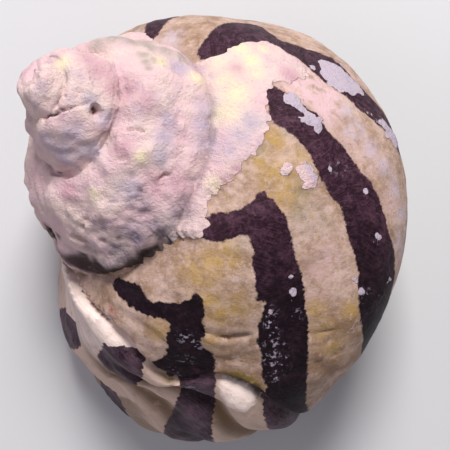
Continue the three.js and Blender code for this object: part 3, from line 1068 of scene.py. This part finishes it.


# Soft areas of other colours, and of painted shade: (turn, side, radius in mm)
tints = {
    "yellowTint": [(-736, 95, 1.6), (-753, 0, 1.0), (-374, 45, 1.4), (-366, 3, 1.6), (-20, 71, 1.9),
                   (-13, 70, 1.8), (-7, 71, 1.6), (-13, 86, 1.8), (3, 83, 2.6), (12, 88, 2.4),
                   (-308, 58, 1.2), (-270, 69, 1.0), (3, 38, 1.2), (1, 49, 1.2), (-19, 59, 1.2),
                   (43, 88, 1.6), (-4, 86, 2.0)],
    "lilacTint": [(-373, 17, 2.2), (-323, 43, 1.8), (-328, 44, 1.8), (-334, 45, 1.6), (-315, 40, 1.6),
                  (-349, -4, 2.2), (-333, -6, 2.4), (-340, 0, 2.0), (27, 85, 2.0), (15, 78, 1.8),
                  (21, 82, 2.0), (-683, 41, 1.4), (-675, -4, 1.6), (-611, 52, 2.0), (-642, 40, 2.0),
                  (-642, -12, 2.2), (-290, 50, 2.2), (-620, 20, 2.4)],
    "grimeTint": [(-418, 78, 1.8), (-410, 66, 2.2), (-402, 52, 2.2), (-394, 38, 2.2), (-388, 20, 2.0),
                  (-384, 4, 1.6), (-380, 60, 1.2), (-372, 63, 0.8), (-366, 63, 0.7), (-374, 54, 0.8),
                  (-420, 50, 2.5), (-410, 20, 2.5)],
    "hazeTint": [(11, 0, 1.8), (14, -9, 2.0), (18, -18, 2.2), (24, -26, 2.4), (31, -34, 2.6),
                 (38, -40, 2.4), (30, -24, 1.6), (1, 14, 1.8), (6, 8, 2.0), (8, 14, 1.6), (-50, 90, 2.6),
                 (-78, 86, 2.6)],
    # painted shade along the suture under the whorl above the body whorl, and along the newer shell's suture
    "sutureShadeSpots": [(-215, 30, 1.4), (-219, 20, 1.6), (-220, 7, 1.6), (-218, -6, 1.4), (-228, 34, 0.8),
                 (-226, 10, 1.2), (-241, 12, 1.0), (-248, 2, 1.4), (-256, -6, 1.4), (-264, -10, 1.3),
                 (-250, 30, 0.8), (-272, -14, 1.2), (-247, -10, 1.8), (-236, -4, 1.8), (-259, 8, 0.7),
                 (-268, 20, 0.6), (-280, -14, 0.9), (-255, 46, 0.6), (156, 87, 1.2), (149, 90, 1.4),
                 (141, 91, 1.4), (131, 92, 1.4), (122, 93, 1.2), (113, 93, 1.0)],
    # grey crust, and painted shade on the lower face of the whorl above the body whorl
    "greyAndShadeTint": [(-267, 34, 2.6), (-275, 11, 3.2), (-284, 8, 3.0), (-286, -10, 3.0), (-263, 6, 3.2),
                 (-288, 32, 2.2), (-254, 0, 3.4), (-246, -12, 3.4), (-238, 0, 3.0), (-300, -9, 2.2),
                 (-270, -10, 3.0), (-262, 48, 1.6)],
    "pinkTint": [(-723, 20, 2.4), (-736, 44, 2.0), (-710, -1, 2.2), (-9, 79, 1.6), (-303, 77, 2.2),
                 (-302, 27, 2.4), (1, 43, 1.6), (34, 80, 1.8), (-347, 86, 2.4), (-341, 70, 2.4),
                 (-307, 11, 2.6), (-252, 80, 2.0), (-7, 51, 2.0), (40, 84, 1.8)],
    "ochreTint": [(20, 67, 2.2), (28, 72, 2.0), (34, 57, 3.4), (31, 64, 2.8), (73, 70, 2.6), (65, 71, 2.8),
                  (60, 68, 2.4), (73, 77, 2.4), (75, 63, 2.8), (94, 64, 2.2), (24, 52, 2.4), (69, 50, 2.6),
                  (74, 55, 2.8), (59, -1, 2.4), (60, -11, 2.4), (56, 11, 2.0), (51, -8, 2.0),
                  (82, 46, 2.0)],
    "greenTint": [(31, 48, 1.8), (37, 43, 2.6), (15, 60, 1.6), (37, 31, 2.0), (24, 72, 1.6), (51, 66, 1.4),
                  (55, 67, 1.6)],
    "redTint": [(111, 78, 0.5), (109, 76, 0.4)],
    # tan painted shade, mostly on the lower right of the body whorl
    "tanShade": [(70, -20, 3.0), (62, -18, 3.0), (56, -24, 3.0), (66, 0, 3.0), (60, -30, 3.2),
                  (70, -40, 4.0), (62, -50, 4.0), (56, -10, 2.5), (75, -15, 2.5), (60, 6, 2.4),
                  (80, 33, 2.6), (78, 26, 2.6), (76, 38, 2.2)],
    "roseTint": [(47, 20, 3.0), (43, 18, 3.0), (54, 14, 2.4), (11, 16, 3.0), (14, 2, 3.0), (22, -13, 3.0),
                 (-17, 34, 2.6), (-12, 45, 2.4), (5, 28, 3.0), (30, 0, 2.6)],
}


def writeAttribute(mesh, name, values):
    made = mesh.attributes.new(name, "FLOAT", "POINT")
    made.data.foreach_set("value", values.astype(np.float32))


def markBandsAndCrust(mesh, points, turn, side):
    banded = bandDepth(points, turn, side)
    writeAttribute(mesh, "bandDepth", banded)
    writeAttribute(mesh, "crustDepth", crustDepth(points, turn, side))
    plates = smoothStep(plateDepth(points, turn, side), -0.9, -0.1) * smoothStep(banded, -2.2, -0.8)
    writeAttribute(mesh, "patchShare", plates)
    washed = depthInOutline(points, turn, side, crust["wash"])
    writeAttribute(mesh, "washTint", smoothStep(washed, -1.0, 1.6))
    writeAttribute(mesh, "scuffTint", smoothStep(depthInSpots(points, crust["scuffs"]), -0.8, 1.2))


def markNewShell(mesh, points, turn, side, growth):
    # degrees of turn past the old lip, as mm along the outside of the whorl
    reachOut = sizeAt(turn) * (coil["centreFromAxis"] + coil["tubeRadius"])
    freshDepth = growth * reachOut * math.pi / 180.0
    freshDepth[(side < -150.0) | (turn < 0.0)] = notNear
    writeAttribute(mesh, "freshDepth", freshDepth)
    block = smoothStep(depthInOutline(points, turn, side, newGrowth["block"]), -0.7, 0.5)
    upperRoll = smoothStep(side, 42.0, 62.0) * (1.0 - smoothStep(growth, 26.0, 60.0))
    writeAttribute(mesh, "freshWhite", np.maximum(upperRoll, block))
    # painted shade and brown dirt in two grooves, darkest on the flank, and painted shade past them on the
    # lower edge of the newer shell
    groove = hump(growth, 15.0, 3.0) + hump(growth, 29.5, 3.2)
    groove = groove * (1.0 - 0.7 * smoothStep(side, 30.0, 50.0))
    groove = groove + 0.5 * smoothStep(growth, 34.0, 44.0) * (side < 10.0)
    writeAttribute(mesh, "grooveShadeAndDirt", np.clip(groove, 0.0, 1.0))
    # painted shade lies in the groove along the old lip, between these sides of the section
    lipShadeSides = smoothStep(side, -12.0, -4.0) * (1.0 - smoothStep(side, 44.0, 60.0))
    lipGrooveShade = 1.2 - np.abs(freshDepth - 0.5) - 2.0 * (1.0 - lipShadeSides)
    writeAttribute(mesh, "lipGrooveShadeDepth", np.where(lipShadeSides > 0.01, lipGrooveShade, notNear))
    ochre = np.full(len(points), notNear)
    for line in newGrowth["ochreStains"]:
        ochre = np.maximum(ochre, depthInLine(points, line))
    writeAttribute(mesh, "ochreStain", smoothStep(ochre, -0.5, 0.3))


def markDamage(mesh, points, turn, side):
    # painted shade darkens the pits and cracks
    pitAndCrackShade = np.zeros(len(points))
    for pitTurn, pitSide, radius, depth in damage["pits"]:
        share = smoothStep(depthInSpots(points, [(pitTurn, pitSide, radius)]), 0.0, radius * 0.8)
        pitAndCrackShade = np.maximum(pitAndCrackShade, share * min(depth, 1.0))
    for line, depth in damage["cracks"]:
        share = smoothStep(depthInLine(points, line), -0.12, 0.15)
        pitAndCrackShade = np.maximum(pitAndCrackShade, share * min(depth * 2.4, 1.0))
    writeAttribute(mesh, "pitAndCrackShade", pitAndCrackShade)
    # painted shade darkens the sutures of the spire
    writeAttribute(mesh, "sutureShade", hump(side, -16.0, 9.0) * smoothStep(-turn, 150.0, 230.0))
    # painted shade under the whorl above the body whorl
    writeAttribute(mesh, "underWhorlShade", smoothStep(depthInLine(points, damage["underWhorlShade"]), -0.6, 0.7))


def markTints(mesh, points):
    for name, spots in tints.items():
        amount = np.zeros(len(points))
        for spot in spots:
            radius = spot[2]
            share = smoothStep(depthInSpots(points, [spot]), -0.6 * radius, 0.9 * radius)
            amount = np.maximum(amount, share)
        writeAttribute(mesh, name, amount)


def paintShell(shell):
    mesh = shell.data
    points = np.empty(len(mesh.vertices) * 3)
    mesh.vertices.foreach_get("co", points)
    points = points.reshape(-1, 3) / mm
    turn, side = turnAndSide(points)
    growth = turn - restTurn(side)
    writeAttribute(mesh, "growth", growth)
    writeAttribute(mesh, "sideAngle", side)
    markBandsAndCrust(mesh, points, turn, side)
    markNewShell(mesh, points, turn, side, growth)
    markDamage(mesh, points, turn, side)
    markTints(mesh, points)
    mesh.shade_smooth()
    mesh.set_sharp_from_angle(angle=math.radians(48))   # the cut rim stays crisp
    print("shell painted")


shell = makeShell()
paintShell(shell)
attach(shell, "root")
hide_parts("shell")

studio = {
    "floorColour": (0.62, 0.62, 0.63),
    "floorRoughness": 0.7,
    "lamps": {
        "key": {"place": (0.02, 0.30, 0.39), "size": 0.16, "power": 2.9, "colour": (1.0, 0.98, 0.97)},
        "fill": {"place": (-0.42, -0.05, 0.32), "size": 0.4, "power": 0.4, "colour": (0.90, 0.84, 1.0)},
        "front": {"place": (0.05, -0.42, 0.34), "size": 0.4, "power": 0.45, "colour": (1.0, 1.0, 1.0)},
    },
    "lampsPointAt": (0, 0, 0.02),
    "air": (0.60, 0.57, 0.68),
    "airStrength": 0.22,
}


def makeFloor():
    bpy.ops.mesh.primitive_plane_add(size=4.0, location=(0, 0, 0))
    floor = bpy.context.object
    floor.name = "floor"
    material, _, shader = newMaterial("paleFloor")
    shader.inputs["Base Color"].default_value = (*studio["floorColour"], 1.0)
    shader.inputs["Roughness"].default_value = studio["floorRoughness"]
    floor.data.materials.append(material)


def makeLamps():
    for name, lamp in studio["lamps"].items():
        light = bpy.data.lights.new(name, "AREA")
        light.size = lamp["size"]
        light.energy = lamp["power"]
        light.color = lamp["colour"]
        placed = bpy.data.objects.new(name, light)
        placed.location = lamp["place"]
        aim = Vector(studio["lampsPointAt"]) - placed.location
        placed.rotation_euler = aim.to_track_quat("-Z", "Y").to_euler()
        bpy.context.collection.objects.link(placed)


def makeAir():
    world = bpy.data.worlds.new("studioAir")
    world.use_nodes = True
    background = world.node_tree.nodes["Background"]
    background.inputs["Color"].default_value = (*studio["air"], 1.0)
    background.inputs["Strength"].default_value = studio["airStrength"]
    bpy.context.scene.world = world


# The camera looks straight down. Its place is measured in mm from the coil's pole.
camera = {"fromPole": (31.97, -25.14, 141.7), "lens": 74.93, "sensor": 36.0}


def makeCamera():
    data = bpy.data.cameras.new("photoCamera")
    data.sensor_width = camera["sensor"]
    data.lens = camera["lens"]
    data.clip_start = 0.01
    placed = bpy.data.objects.new("photoCamera", data)
    placed.location = (Vector(coil["pole"]) + Vector(camera["fromPole"])) * mm
    bpy.context.collection.objects.link(placed)
    bpy.context.scene.camera = placed


makeFloor()
makeLamps()
makeAir()
makeCamera()
bpy.context.scene.view_settings.view_transform = "Standard"
print("studio and camera placed")
